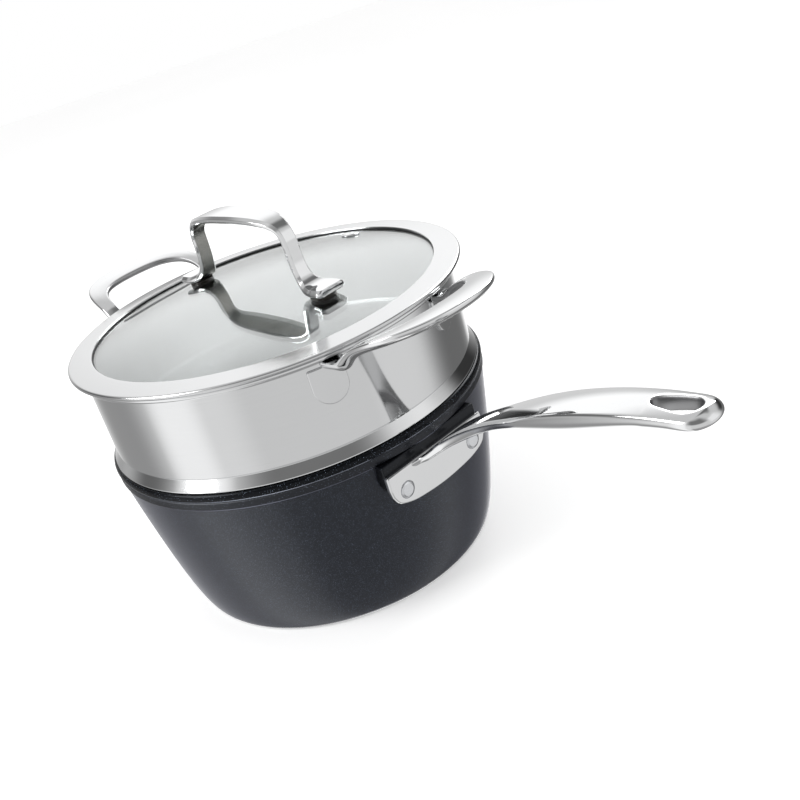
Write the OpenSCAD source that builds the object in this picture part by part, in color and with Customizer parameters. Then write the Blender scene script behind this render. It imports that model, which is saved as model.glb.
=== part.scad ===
// Double boiler: a cast saucepan, a stepped steel insert that sits on its lip, and a domed glass lid.
// Millimetres, +Z up. Origin at the centre of the saucepan's underside, long handle towards +X.

/* [Saucepan] */
// Inside diameter at the mouth
pan_mouth_d = 200; // [190:1:210]
// Height of the lip above the table
pan_h = 94.8; // [90:0.1:100]
// Wall thickness of the casting
pan_wall = 3.2; // [2.5:0.1:4]
// Thickness of the floor
pan_floor = 5.5; // [4:0.1:7]
// Radius of the outside where it meets the table
pan_foot_r = 85.3; // [82:0.1:88]
// Height of the bright shoulder line below the lip band
pan_shoulder_z = 86.2; // [84:0.1:88]
// Curve of the wall: lower values make it bulge more near the bottom
pan_curve = 0.66; // [0.5:0.01:0.8]

/* [Long handle] */
// Distance of the handle's end from the pan's axis
handle_end_x = 257; // [247:1:267]
// Half width of the grip
grip_half_w = 11.6; // [10:0.1:13]
// Greatest thickness of the grip
grip_t = 10.4; // [8:0.1:12]
// Length of the hanging hole
hang_len = 19.5; // [16:0.5:22]
// Width of the hanging hole
hang_w = 10.2; // [8:0.1:12]
// Width of the riveted flange
flange_w = 65; // [60:1:68]
// Height of the riveted flange
flange_h = 21; // [19:0.5:22]
// Distance between the rivets
rivet_pitch = 46; // [42:0.5:48]

/* [Insert] */
// Outside radius of the brushed wall
ins_r = 99.2; // [98.8:0.1:99.6]
// Sheet thickness
ins_t = 1; // [0.8:0.1:1.2]
// Height of the rolled rim above the table
ins_top_z = 147.1; // [145:0.1:149]
// Height of the insert's floor above the table
ins_floor_z = 28; // [24:1:34]
// How far the loop handles reach from the axis
loop_reach = 150.5; // [146:0.5:155]
// Width of the loop's outer bar
loop_bar_w = 17.6; // [15:0.1:20]
// Thickness of the loop casting
loop_t = 4.6; // [4:0.1:5.5]

/* [Lid] */
// Outside radius of the steel rim
lid_r = 105.9; // [105:0.1:107]
// Radius where the rim ends and the glass shows
glass_show_r = 92.6; // [90:0.1:93]
// Thickness of the glass
glass_t = 4; // [3.5:0.1:4.2]
// Height of the strap handle's top above the table
strap_top_z = 197.4; // [192:0.1:202]
// Thickness of the strap
strap_t = 3.6; // [3:0.1:4]

/* [Hidden] */
$fn = 128;

gap = 0.02;                          // between pieces of one body that touch
rest_gap = 0.3;                      // between pieces that lift apart
mouth_r = pan_mouth_d / 2;
lip_r = mouth_r + 3.4;
seat_x = mouth_r + 2.2;              // flat seat for the handle
flange_t = 2.8;
flange_x = seat_x + gap;
flange_top = 81.5;
flange_bot = flange_top - flange_h;
rivet_z = 70.4;
rivet_r = 2.6;
head_r = 4;
disc_r = 76;
disc_t = 1.6;
ledge_z = pan_h + rest_gap;          // underside of the insert's ledge
wall_foot_z = ledge_z + 6.6;         // where the brushed wall ends
pad_t = 1.2;
pad_r = ins_r + gap + pad_t;
pad_az = 21.8;
dome_k = 0.00109;                    // fall of the dome per square millimetre
glass_r = 95.2;
rim_z = ins_top_z + rest_gap;        // underside of the lid's rim
lip_in_z = rim_z + 3.1;              // top of the rim at the glass
dome_z = rim_z + 10.95;              // top of the glass at the axis
foot_x = 55;                         // screws of the strap handle
vent_r = 77.2;
vent_az = 98.8;
screw_r = 1.9;                       // shank of the handle's screws
vent_bore_r = 0.9;
vent_tube_r = 1.92;

function arc(cx, cy, rx, ry, a0, a1, n) =
    [for (i = [0 : n]) let (a = a0 + (a1 - a0) * i / n) [cx + rx * cos(a), cy + ry * sin(a)]];
function rev(v) = [for (i = [len(v) - 1 : -1 : 0]) v[i]];
// Smooth curve through a row of stations
function at(p, i) = p[max(0, min(len(p) - 1, i))];
function smooth(p, n) = [for (i = [0 : len(p) - 2]) for (j = [0 : n - 1])
    let (t = j / n, a = at(p, i - 1), b = at(p, i), c = at(p, i + 1), d = at(p, i + 2))
    0.5 * (2 * b + (c - a) * t + (2 * a - 5 * b + 4 * c - d) * t * t + (3 * b - a - 3 * c + d) * t * t * t),
    at(p, len(p) - 1)];
function unit(v) = v / norm(v);
function side(p, i) = let (d = unit(at(p, i + 1) - at(p, i - 1))) [d[1], -d[0]];
// Closed outline of a strip of thickness t laid on one side of a curve
function strip(p, t) = concat(p, rev([for (i = [0 : len(p) - 1]) p[i] + side(p, i) * t]));
function mirror_y(v) = [for (q = v) [q[0], -q[1]]];
function dome(r) = dome_z - dome_k * r * r;

// ---------- saucepan ----------
function wall_r(z) = pan_foot_r + (lip_r - 1.1 - pan_foot_r) * pow(z / pan_shoulder_z, pan_curve);

module pan_outside() {
    zs = [for (i = [1 : 22]) pan_shoulder_z * pow(i / 22, 1.4)];
    rotate_extrude() polygon(concat(
        [[0, 0], [pan_foot_r - 0.6, 0], [pan_foot_r + 0.2, 0.4]],
        [for (z = zs) if (z > 1.2) [wall_r(z), z]],
        [[lip_r - 0.45, pan_shoulder_z + 0.6], [lip_r - 0.35, pan_h - 4.6], [lip_r - 0.6, pan_h - 4.3],
         [lip_r - 0.1, pan_h - 3.9]],
        arc(lip_r - 1.7, pan_h - 2.4, 1.7, 2.4, -20, 90, 8),
        [[0, pan_h]]));
}

module pan_inside() {
    zs = [for (i = [0 : 12]) 18 + (pan_shoulder_z - 18) * i / 12];
    rotate_extrude() polygon(concat(
        [[0, pan_floor]],
        arc(wall_r(18) - pan_wall - 12, pan_floor + 12.5, 12, 12.5, -90, 0, 8),
        [for (z = zs) if (z > 18.5) [wall_r(z) - pan_wall, z]],
        [[mouth_r, pan_h - 4]],
        arc(mouth_r + 1.4, pan_h - 1.4, 1.4, 1.4, 180, 90, 5),
        [[mouth_r + 1.4, pan_h + 1], [0, pan_h + 1]]));
}

// Boat shape of the flange, in the plane of its face (y, z)
function boat(w, top, bot) = concat(
    [[-w / 2, top - 1.2], [-w / 2 + 1.2, top], [w / 2 - 1.2, top], [w / 2, top - 1.2], [w / 2, top - 7]],
    smooth([[w / 2 - 0.6, top - 11], [w / 2 - 3, top - 15.2], [w / 2 - 8, bot + 3.2], [w / 4, bot + 1.3],
            [0, bot + 0.2], [-w / 4, bot + 1.3], [-w / 2 + 8, bot + 3.2], [-w / 2 + 3, top - 15.2],
            [-w / 2 + 0.6, top - 11]], 4),
    [[-w / 2, top - 7]]);

module face_plate(x0, x1, w, top, bot) {
    translate([x0, 0, 0]) rotate([90, 0, 90]) linear_extrude(height = x1 - x0) polygon(boat(w, top, bot));
}

module rivet_holes(r, x0, x1) {
    for (s = [-1, 1]) translate([x0, s * rivet_pitch / 2, rivet_z]) rotate([0, 90, 0])
        cylinder(r = r, h = x1 - x0, $fn = 64);
}

module saucepan_body() {
    color([0.2, 0.21, 0.24]) difference() {
        union() {
            pan_outside();
            face_plate(mouth_r - 18, seat_x, flange_w - 1.6, pan_shoulder_z, flange_bot + 0.8);
        }
        pan_inside();
        // plate recess in the underside
        translate([0, 0, -1]) cylinder(r = disc_r + gap, h = disc_t + gap + 1);
        rivet_holes(rivet_r + gap, 80, 120);
        // flats for the rivets' inner heads
        rivet_holes(6.6, 80, 95.6);
    }
}

module induction_base_plate() {
    color([0.62, 0.62, 0.63]) difference() {
        cylinder(r = disc_r, h = disc_t);
        // ring grooves turned in the face
        for (r = [20, 38, 56]) difference() {
            translate([0, 0, -1]) cylinder(r = r + 1.2, h = 1.6);
            translate([0, 0, -2]) cylinder(r = r, h = 5);
        }
    }
}

// stations of the grip: [x, height of the top, half width, thickness]
stations = [[102, 78.7, 14, 5.2], [105.5, 81.3, 13, 5.2], [110, 84.7, 11.7, 5.2], [115, 88.3, 10.2, 5.4],
            [121, 92.3, 8.7, 5.9], [129, 97, 7.6, 6.3], [139, 102, 7.4, 6.3], [151, 107, 8, 5.8],
            [164, 112.3, 9.8, 6.6], [179, 117.5, grip_half_w - 0.5, 9.2], [195, 121.9, grip_half_w, grip_t],
            [212, 125.5, grip_half_w, 9.5], [230, 128, grip_half_w - 0.4, 7.6],
            [handle_end_x - 12, 128.9, grip_half_w - 0.9, 6.5], [handle_end_x, 128.4, grip_half_w - 1.4, 6.2]];

module grip_side() {
    tops = smooth([for (s = stations) [s[0], s[1]]], 4);
    bots = smooth([for (s = stations) [s[0], s[1] - s[3]]], 4);
    translate([0, 40, 0]) rotate([90, 0, 0]) linear_extrude(height = 80) polygon(concat(tops, rev(bots)));
}

module grip_plan() {
    e = handle_end_x;
    w = grip_half_w;
    edge = concat(smooth([for (i = [0 : len(stations) - 3]) [stations[i][0], stations[i][2]]], 4),
        [[e - 16, w - 0.7], [e - 10, w - 0.9], [e - 6.5, w - 1.5], [e - 4, w - 3.2], [e - 2, w - 6], [e - 0.6, w - 9],
         [e, 0]]);
    linear_extrude(height = 200) polygon(concat(edge, rev(mirror_y(edge))));
}

module fork_gap() {
    // opening between the two arms of the neck
    q = smooth([[105.6, 8.4], [108, 7.4], [111, 6.1], [114, 4.9], [116.6, 3.6], [118.4, 2], [119, 0]], 3);
    linear_extrude(height = 200) polygon(concat([[104, 9.1]], q, rev(mirror_y(q)), [[104, -9.1]]));
}

module hang_hole() {
    // long drop-shaped hole: round at the end, narrower towards the pan
    c = handle_end_x - 11.6;
    r = hang_w / 2;
    translate([c, 0, 90]) cylinder(r = r, h = 60, $fn = 64);
    translate([c - hang_len + r + 3, 0, 90]) cylinder(r = 3, h = 60, $fn = 48);
    l = hang_len - r - 3;
    a = asin((r - 3) / l);
    translate([0, 0, 90]) linear_extrude(height = 60) polygon([
        [c - r * sin(a), r * cos(a)], [c - l - 3 * sin(a), 3 * cos(a)],
        [c - l - 3 * sin(a), -3 * cos(a)], [c - r * sin(a), -r * cos(a)]]);
}

module saucepan_handle() {
    color([0.8, 0.81, 0.82]) difference() {
        union() {
            face_plate(flange_x, flange_x + flange_t, flange_w, flange_top, flange_bot);
            difference() {
                intersection() { grip_side(); grip_plan(); }
                fork_gap();
            }
        }
        // seat face
        translate([flange_x - 30, -60, 40]) cube([30, 120, 60]);
        hang_hole();
        rivet_holes(rivet_r + gap, 90, 120);
        rivet_holes(head_r + 0.3, flange_x + flange_t - 0.7, 120);
    }
}

module saucepan_rivets() {
    color([0.75, 0.76, 0.78]) for (s = [-1, 1]) translate([0, s * rivet_pitch / 2, rivet_z]) rotate([0, 90, 0]) {
        translate([0, 0, 95.6 - 2.4]) cylinder(r = 6.2, h = 2.4 - gap, $fn = 64);
        translate([0, 0, 95.6 - 2]) cylinder(r = rivet_r, h = flange_x + flange_t - 93.6, $fn = 64);
        translate([0, 0, flange_x + flange_t - 0.7 + gap]) cylinder(r = head_r, h = 1, $fn = 64);
        translate([0, 0, flange_x + flange_t + 0.3 + gap]) cylinder(r1 = head_r, r2 = head_r - 0.4, h = 0.35, $fn = 64);
    }
}

// ---------- insert ----------
function bowl(t) = smooth([[98.6 - t, ledge_z - 0.6], [98.3 - t, ledge_z - 5], [96.4 - t, ledge_z - 13],
    [92.6 - t, ledge_z - 27], [86.8 - t, ledge_z - 43], [79 - t, ins_floor_z + 10.5 + t * 0.4],
    [71 - t, ins_floor_z + 3.4 + t * 0.8], [60 - t, ins_floor_z + t]], 4);

module insert_shell() {
    t = ins_t;
    color([0.76, 0.77, 0.78]) rotate_extrude() polygon(concat(
        // outside, from the rolled rim down
        arc(ins_r + 3.1, ins_top_z - 1.2, 1.2, 1.2, 90, -100, 8),
        [[ins_r + 1, ins_top_z - 2.5], [ins_r + 0.2, ins_top_z - 3.2], [ins_r, ins_top_z - 4],
         [ins_r, wall_foot_z], [ins_r - 0.3, wall_foot_z - 0.7], [ins_r - 1.1, wall_foot_z - 1]],
        [[mouth_r + 1.65, ledge_z + 0.7], [mouth_r + 1.75, ledge_z + 0.35], [mouth_r + 1.6, ledge_z], [98.9, ledge_z]],
        bowl(0),
        [[0, ins_floor_z]],
        // inside, back up
        [[0, ins_floor_z + t]],
        rev(bowl(t)),
        [[98.6 - t, ledge_z + 0.6], [ins_r - 1.2 - t, wall_foot_z - 2.4], [ins_r - 1.2 - t, wall_foot_z - 1],
         [ins_r - t, wall_foot_z + 0.8], [ins_r - t, ins_top_z - 1.6], [ins_r - t + 0.8, ins_top_z - 0.4],
         [ins_r + 0.8, ins_top_z]]));
}

// profile of a loop casting seen from the side: [distance from the axis, height of its top]
loop_stations = [[88, ins_top_z - 3.6], [96, ins_top_z - 3.2], [101, ins_top_z - 2.95], [103.6, ins_top_z - 2.6],
                 [106, ins_top_z - 0.4], [110, ins_top_z + 3], [120, ins_top_z + 7.1], [131, ins_top_z + 9.9],
                 [loop_reach - 9, ins_top_z + 12], [loop_reach + 0.5, ins_top_z + 13.2]];

function loop_outer() = let (e = loop_reach) smooth([[86, 39.4], [100, 39.2], [110, 38.6], [118, 38],
    [e - 24, 36.6], [e - 17, 34], [e - 11.5, 30.2], [e - 6.7, 25.2], [e - 3.6, 19.9], [e - 1.5, 13.6], [e - 0.35, 7], [e, 0]], 4);
function loop_inner() = let (i = loop_reach - loop_bar_w) smooth([[86, 28.4], [100, 28.6], [107, 29.3], [113, 29.3],
    [i - 14.5, 28.3], [i - 9, 26], [i - 4.6, 22], [i - 1.7, 16.6], [i - 0.4, 9], [i, 0]], 4);

module loop_handle() {
    o = loop_outer();
    n = loop_inner();
    st = smooth(loop_stations, 4);
    difference() {
        intersection() {
            translate([0, 60, 0]) rotate([90, 0, 0]) linear_extrude(height = 120) polygon(strip(st, loop_t));
            translate([0, 0, 100]) linear_extrude(height = 90) difference() {
                polygon(concat(o, rev(mirror_y(o))));
                polygon(concat([[80, n[0][1]]], n, rev(mirror_y(n)), [[80, -n[0][1]]]));
            }
        }
        translate([0, 0, 100]) cylinder(r = pad_r + gap, h = 60);
    }
}

module insert_handle_front() { color([0.8, 0.81, 0.82]) loop_handle(); }
module insert_handle_rear() { color([0.8, 0.81, 0.82]) rotate([0, 0, 180]) loop_handle(); }

module pads() {
    z0 = ins_top_z - 15.6;
    for (s = [-1, 1]) rotate([0, 0, s * pad_az]) intersection() {
        difference() {
            translate([0, 0, z0 - 20]) cylinder(r = pad_r, h = 40);
            translate([0, 0, z0 - 21]) cylinder(r = ins_r + gap, h = 42);
        }
        union() {
            translate([60, 0, z0]) rotate([0, 90, 0]) cylinder(r = 8.8, h = 60, $fn = 64);
            translate([60, -8.8, z0]) cube([60, 17.6, 9.6]);
        }
    }
}

module insert_handle_front_pads() { color([0.74, 0.75, 0.76]) pads(); }
module insert_handle_rear_pads() { color([0.74, 0.75, 0.76]) rotate([0, 0, 180]) pads(); }

// ---------- lid ----------
module on_dome(r, az) {
    // frame standing square on the glass
    rotate([0, 0, az]) translate([r, 0, dome(r)]) rotate([0, atan(2 * dome_k * r), 0]) children();
}

// solid below the glass's top face, moved by dz
module dome_solid(dz) {
    top = [for (i = [0 : 16]) let (r = glass_r * i / 16) [r, dome(r) + dz]];
    rotate_extrude() polygon(concat([[0, 120]], top, [[glass_r, 120]]));
}

module lid_glass() {
    n = 20;
    top = [for (i = [0 : n]) let (r = (glass_r - 0.6) * i / n) [r, dome(r)]];
    bot = [for (i = [0 : n]) let (r = (glass_r - 0.6) * i / n) [r, dome(r) - glass_t]];
    color([0.66, 0.72, 0.71, 0.45]) difference() {
        rotate_extrude() polygon(concat(top, [[glass_r, dome(glass_r) - 0.7], [glass_r, dome(glass_r) - glass_t + 0.7]],
            rev(bot)));
        for (s = [0, 180]) rotate([0, 0, s]) translate([foot_x, 0, 130]) cylinder(r = screw_r + 0.05, h = 40, $fn = 48);
        on_dome(vent_r, vent_az) translate([0, 0, -10]) cylinder(r = vent_tube_r + gap, h = 20, $fn = 48);
    }
}

module lid_rim_ring() {
    color([0.82, 0.83, 0.84]) rotate_extrude() polygon(concat(
        [[glass_show_r, lip_in_z - 0.15], [glass_show_r + 0.25, lip_in_z], [lid_r - 1, lip_in_z - 0.8]],
        arc(lid_r - 1.2, rim_z + 1.15, 1.2, 1.15, 80, -90, 8),
        [[ins_r + 0.9, rim_z], [97.4, rim_z - 1.2], [97.4, rim_z - 5.4], [97, rim_z - 5.8], [96.6, rim_z - 5.8],
         [96.3, rim_z - 5.4], [96.3, rim_z - 4.4], [93.6, rim_z - 4.4], [93.6, rim_z - 3.5], [96.4, rim_z - 3.5],
         [96.4, lip_in_z - 1], [glass_show_r, lip_in_z - 1]]));
}

module lid_rim_seal() {
    r0 = glass_show_r - 0.5;
    r1 = glass_r + gap * 2;
    color([0.05, 0.05, 0.055]) rotate_extrude() polygon([
        [r0, dome(r0) + gap * 2], [r0 + 0.15, lip_in_z - 1 - gap], [96.38, lip_in_z - 1 - gap], [96.38, rim_z - 3.5 + gap],
        [94, rim_z - 3.5 + gap], [94, dome(94) - glass_t - gap * 2], [glass_r - 0.6, dome(glass_r) - glass_t - gap * 2],
        [r1, dome(glass_r) - glass_t + 0.66], [r1, dome(glass_r) - 0.66], [glass_r - 0.6, dome(glass_r - 0.6) + gap * 2]]);
}

module steam_vent() {
    color([0.8, 0.81, 0.82]) on_dome(vent_r, vent_az) rotate_extrude($fn = 64) polygon([
        [vent_bore_r, -glass_t - 0.9], [5, -glass_t - 0.9], [5, -glass_t - 0.2], [vent_tube_r, -glass_t - 0.2], [vent_tube_r, 0.2], [5.2, 0.2],
        [5.2, 0.6], [4.6, 1.1], [3.4, 1.2], [2.2, 0.8], [1.3, 0.5], [vent_bore_r, 0.1]]);
}

// side view of the strap, right half: its outer face from the foot's end to the top
strap_half = [[63.5, strap_top_z - 36.7], [57, strap_top_z - 36.7], [52.5, strap_top_z - 36.6], [48.3, strap_top_z - 35.2],
              [45.4, strap_top_z - 31.6], [43.9, strap_top_z - 26], [43.4, strap_top_z - 19.5],
              [42.8, strap_top_z - 12.8], [39.6, strap_top_z - 7.2], [33.4, strap_top_z - 3.5],
              [24, strap_top_z - 1.3], [12, strap_top_z - 0.2], [0, strap_top_z]];

module lid_handle() {
    p = concat(strap_half, [for (i = [len(strap_half) - 2 : -1 : 0]) [-strap_half[i][0], strap_half[i][1]]]);
    c = smooth(p, 4);
    half = smooth([[0, 9.4], [14, 9.1], [26, 8], [34, 6.4], [40, 4.9], [44, 4.5], [47, 5.4], [52, 7.6], [58, 8.8],
                   [61.5, 8.4], [63.5, 7.2]], 4);
    plan = concat(half, rev(mirror_y(half)), [for (q = mirror_y(half)) [-q[0], q[1]]], rev([for (q = half) [-q[0], q[1]]]));
    color([0.8, 0.81, 0.82]) difference() {
        intersection() {
            translate([0, 20, 0]) rotate([90, 0, 0]) linear_extrude(height = 40) polygon(strip(rev(c), strap_t));
            translate([0, 0, 140]) linear_extrude(height = 80) polygon(plan);
        }
        for (s = [0, 180]) rotate([0, 0, s]) translate([foot_x, 0, strap_top_z - 45]) cylinder(r = screw_r + gap, h = 7.6, $fn = 48);
    }
}

module lid_handle_washers() {
    color([0.1, 0.095, 0.09]) for (s = [0, 180]) rotate([0, 0, s]) difference() {
        translate([foot_x, 0, 0]) intersection() {
            translate([0, 0, 145]) cylinder(r = 7, h = strap_top_z - 36.7 - strap_t - gap * 3 - 145, $fn = 64);
            translate([0, 0, 140]) cylinder(r = 20, h = 60);
        }
        dome_solid(gap);
        translate([foot_x, 0, 130]) cylinder(r = 2.6, h = 40, $fn = 48);
    }
}

module lid_handle_under_washers() {
    color([0.1, 0.095, 0.09]) for (s = [0, 180]) rotate([0, 0, s]) intersection() {
        difference() {
            translate([foot_x, 0, dome(foot_x + 7) - glass_t - 1.4]) cylinder(r = 7, h = 8, $fn = 64);
            translate([foot_x, 0, 130]) cylinder(r = 2.6, h = 40, $fn = 48);
        }
        dome_solid(-glass_t - gap);
    }
}

module lid_handle_screws() {
    z = dome(foot_x + 7) - glass_t - 1.4 - gap;
    color([0.72, 0.73, 0.75]) for (s = [0, 180]) rotate([0, 0, s]) translate([foot_x, 0, 0]) difference() {
        union() {
            translate([0, 0, z - 2.4]) cylinder(r = 4.4, h = 2.4, $fn = 64);
            translate([0, 0, z - 0.5]) cylinder(r = screw_r, h = strap_top_z - 37.8 - z + 0.5, $fn = 48);
        }
        for (a = [0, 90]) rotate([0, 0, a]) translate([-2.6, -0.45, z - 3]) cube([5.2, 0.9, 1.9]);
    }
}

saucepan_body();
induction_base_plate();
saucepan_handle();
saucepan_rivets();
insert_shell();
insert_handle_front();
insert_handle_rear();
insert_handle_front_pads();
insert_handle_rear_pads();
lid_glass();
lid_rim_ring();
lid_rim_seal();
steam_vent();
lid_handle();
lid_handle_washers();
lid_handle_under_washers();
lid_handle_screws();
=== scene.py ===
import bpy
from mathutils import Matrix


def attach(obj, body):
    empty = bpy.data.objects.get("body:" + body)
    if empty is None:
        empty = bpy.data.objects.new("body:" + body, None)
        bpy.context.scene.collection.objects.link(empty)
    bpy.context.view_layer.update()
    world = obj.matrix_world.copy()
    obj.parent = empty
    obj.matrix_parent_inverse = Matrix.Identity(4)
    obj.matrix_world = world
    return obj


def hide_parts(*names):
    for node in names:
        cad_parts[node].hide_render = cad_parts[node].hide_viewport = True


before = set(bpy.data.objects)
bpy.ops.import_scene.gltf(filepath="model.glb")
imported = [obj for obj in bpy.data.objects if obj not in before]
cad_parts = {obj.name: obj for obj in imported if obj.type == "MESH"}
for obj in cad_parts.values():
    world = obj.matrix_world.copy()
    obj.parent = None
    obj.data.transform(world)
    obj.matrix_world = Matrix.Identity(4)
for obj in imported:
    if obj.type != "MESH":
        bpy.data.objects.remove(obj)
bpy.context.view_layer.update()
import math

import bmesh
import bpy
import numpy as np
from mathutils import Matrix, Vector

MM = 0.001
GAP = 0.02


# ---------------------------------------------------------------- curves
def arc(cx, cy, rx, ry, a0, a1, n):
    return [(cx + rx * math.cos(math.radians(a0 + (a1 - a0) * i / n)),
             cy + ry * math.sin(math.radians(a0 + (a1 - a0) * i / n))) for i in range(n + 1)]


def smooth(p, n):
    """Catmull-Rom curve through the points of p, n steps a span."""
    out = []
    for i in range(len(p) - 1):
        a, b, c, d = (np.array(p[max(0, min(len(p) - 1, k))], float) for k in (i - 1, i, i + 1, i + 2))
        for j in range(n):
            t = j / n
            out.append(tuple(0.5 * (2 * b + (c - a) * t + (2 * a - 5 * b + 4 * c - d) * t * t
                                    + (3 * b - a - 3 * c + d) * t ** 3)))
    out.append(tuple(np.array(p[-1], float)))
    return out


class Table:
    """Smooth function of x through a table of (x, value)."""

    def __init__(self, pts, n=12):
        d = smooth(pts, n)
        self.x = np.array([q[0] for q in d])
        self.v = np.array([q[1] for q in d])

    def __call__(self, x):
        return float(np.interp(x, self.x, self.v))

    def slope(self, x, h=0.4):
        return (self(x + h) - self(x - h)) / (2 * h)


def corner(p, q, s, rad, n=4):
    """Points of a fillet at q between p and s."""
    p, q, s = (np.array(v, float) for v in (p, q, s))
    u, v = p - q, s - q
    lu, lv = np.linalg.norm(u), np.linalg.norm(v)
    u, v = u / lu, v / lv
    half = math.acos(max(-1, min(1, float(u @ v)))) / 2
    if half > math.pi / 2 - 0.03:
        return [tuple(q)]
    t = min(rad / math.tan(half), lu * 0.48, lv * 0.48)
    rad = t * math.tan(half)
    c = q + (u + v) / np.linalg.norm(u + v) * rad / math.sin(half)
    a, b = q + u * t - c, q + v * t - c
    out = []
    w = math.pi - 2 * half
    for i in range(n + 1):
        k = i / n
        out.append(tuple(c + (a * math.sin((1 - k) * w) + b * math.sin(k * w)) / math.sin(w)))
    return out


def profile(items):
    """Reads a list of (r, z), (r, z, fillet) and zone names into [(r, z, zone)], zone being that of the piece that
    starts at the point."""
    pts, zone = [], 0
    for it in items:
        if isinstance(it, str):
            zone = int(it)
        else:
            pts.append((it[0], it[1], it[2] if len(it) > 2 else 0, zone))
    out = []
    n = len(pts)
    for i, (r, z, rad, zn) in enumerate(pts):
        if rad and (0 < i < n - 1 or pts[0][0] > 1e-6):
            p, s = pts[(i - 1) % n], pts[(i + 1) % n]
            out += [(a, b, zn) for a, b in corner(p[:2], (r, z), s[:2], rad)]
        else:
            out.append((r, z, zn))
    return out


# ---------------------------------------------------------------- meshes
def new_object(name, verts, faces, mats, index=None, normals=None):
    me = bpy.data.meshes.new(name)
    me.from_pydata([tuple(v) for v in verts], [], faces)
    for m in mats:
        me.materials.append(m)
    if index is not None:
        me.polygons.foreach_set("material_index", index)
    me.polygons.foreach_set("use_smooth", [True] * len(me.polygons))
    me.update()
    if normals is not None:
        me.normals_split_custom_set_from_vertices([tuple(n) for n in normals])
    ob = bpy.data.objects.new(name, me)
    bpy.context.scene.collection.objects.link(ob)
    return ob


def lathe(name, items, mats, segs=288, place=None, warp=None):
    """Solid of revolution about Z (mm), with exact normals. place moves it; warp changes single points."""
    pf = profile(items)
    axis0, axis1 = pf[0][0] < 1e-6, pf[-1][0] < 1e-6
    closed = not (axis0 and axis1)
    area = sum(a[0] * b[1] - b[0] * a[1] for a, b in zip(pf, pf[1:] + pf[:1]))
    if area < 0:
        zs = [p[2] for p in pf]
        zs = zs[:-1][::-1] + [zs[-1]] if not closed else zs[-2::-1] + [zs[-1]]
        pf = [(p[0], p[1], z) for p, z in zip(pf[::-1], zs)]
    n = len(pf)
    rz = np.array([p[:2] for p in pf], float)
    nxt = np.roll(rz, -1, axis=0)
    seg = nxt - rz
    length = np.linalg.norm(seg, axis=1)
    sn = np.stack([seg[:, 1], -seg[:, 0]], axis=1)          # scaled by length already
    if not closed:
        sn[-1] = 0
    prev = np.roll(sn, 1, axis=0)
    vn = sn + prev
    vn /= np.maximum(np.linalg.norm(vn, axis=1, keepdims=True), 1e-12)
    ca = np.cos(np.arange(segs) * 2 * math.pi / segs)
    sa = np.sin(np.arange(segs) * 2 * math.pi / segs)
    verts, norms, start = [], [], []
    for (r, z), (nr, nz) in zip(rz, vn):
        start.append(len(verts))
        if r < 1e-6:
            verts.append((0, 0, z))
            norms.append((0, 0, 1 if nz > 0 else -1))
        else:
            verts += [(r * c, r * s, z) for c, s in zip(ca, sa)]
            norms += [(nr * c, nr * s, nz) for c, s in zip(ca, sa)]
    faces, index = [], []
    for j in range(n if closed else n - 1):
        k = (j + 1) % n
        a, b = start[j], start[k]
        if length[j] < 1e-9:
            continue
        for i in range(segs):
            i2 = (i + 1) % segs
            if rz[j][0] < 1e-6:
                faces.append((a, b + i2, b + i))
            elif rz[k][0] < 1e-6:
                faces.append((a + i, a + i2, b))
            else:
                faces.append((a + i, a + i2, b + i2, b + i))
            index.append(pf[j][2])
    v = np.array(verts, float)
    nn = np.array(norms, float)
    if warp:
        v = np.array([warp(*q) for q in v])
    if place is not None:
        m = np.array(place, float)
        v = v @ m[:3, :3].T + m[:3, 3]
        nn = nn @ m[:3, :3].T
    return new_object(name, v * MM, faces, mats, index, nn)


def area_normals(verts, faces):
    """Vertex normals weighted by face area, so that broad flat faces stay flat."""
    v = np.array(verts, float)
    out = np.zeros_like(v)
    for f in faces:
        q = v[list(f)]
        a = np.zeros(3)
        for i in range(1, len(f) - 1):
            a += np.cross(q[i] - q[0], q[i + 1] - q[0])
        for i in f:
            out[i] += a
    return out / np.maximum(np.linalg.norm(out, axis=1, keepdims=True), 1e-12)


def outline_in(pts, d):
    """Closed outline moved inwards by d (anticlockwise outline)."""
    p = np.array(pts, float)
    e = np.roll(p, -1, axis=0) - p
    e /= np.maximum(np.linalg.norm(e, axis=1, keepdims=True), 1e-9)
    nrm = np.stack([-e[:, 1], e[:, 0]], axis=1)
    both = nrm + np.roll(nrm, 1, axis=0)
    both /= np.maximum(np.linalg.norm(both, axis=1, keepdims=True), 1e-9)
    c = np.maximum((both * nrm).sum(1), 0.55)
    return p + both * (d / c)[:, None]


def ccw(pts):
    a = sum(p[0] * q[1] - q[0] * p[1] for p, q in zip(pts, pts[1:] + pts[:1]))
    return pts if a > 0 else pts[::-1]


def densify(pts, step):
    out = []
    for p, q in zip(pts, pts[1:] + pts[:1]):
        n = max(1, int(math.ceil(math.dist(p, q) / step)))
        out += [(p[0] + (q[0] - p[0]) * i / n, p[1] + (q[1] - p[1]) * i / n) for i in range(n)]
    return out


def fill_faces(rings):
    """Triangles between one outer ring and any hole rings; rings are lists of (index, (u, v))."""
    bm = bmesh.new()
    key = {}
    edges = []
    for ring in rings:
        vs = []
        for idx, (u, v) in ring:
            b = bm.verts.new((u, v, 0))
            key[b] = idx
            vs.append(b)
        for a, b in zip(vs, vs[1:] + vs[:1]):
            edges.append(bm.edges.new((a, b)))
    bmesh.ops.triangle_fill(bm, use_beauty=True, use_dissolve=False, edges=edges, normal=(0, 0, 1))
    faces = []
    for f in bm.faces:
        ids = [key[v] for v in f.verts]
        if f.normal.z < 0:
            ids.reverse()
        faces.append(tuple(ids))
    bm.free()
    return faces


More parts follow.
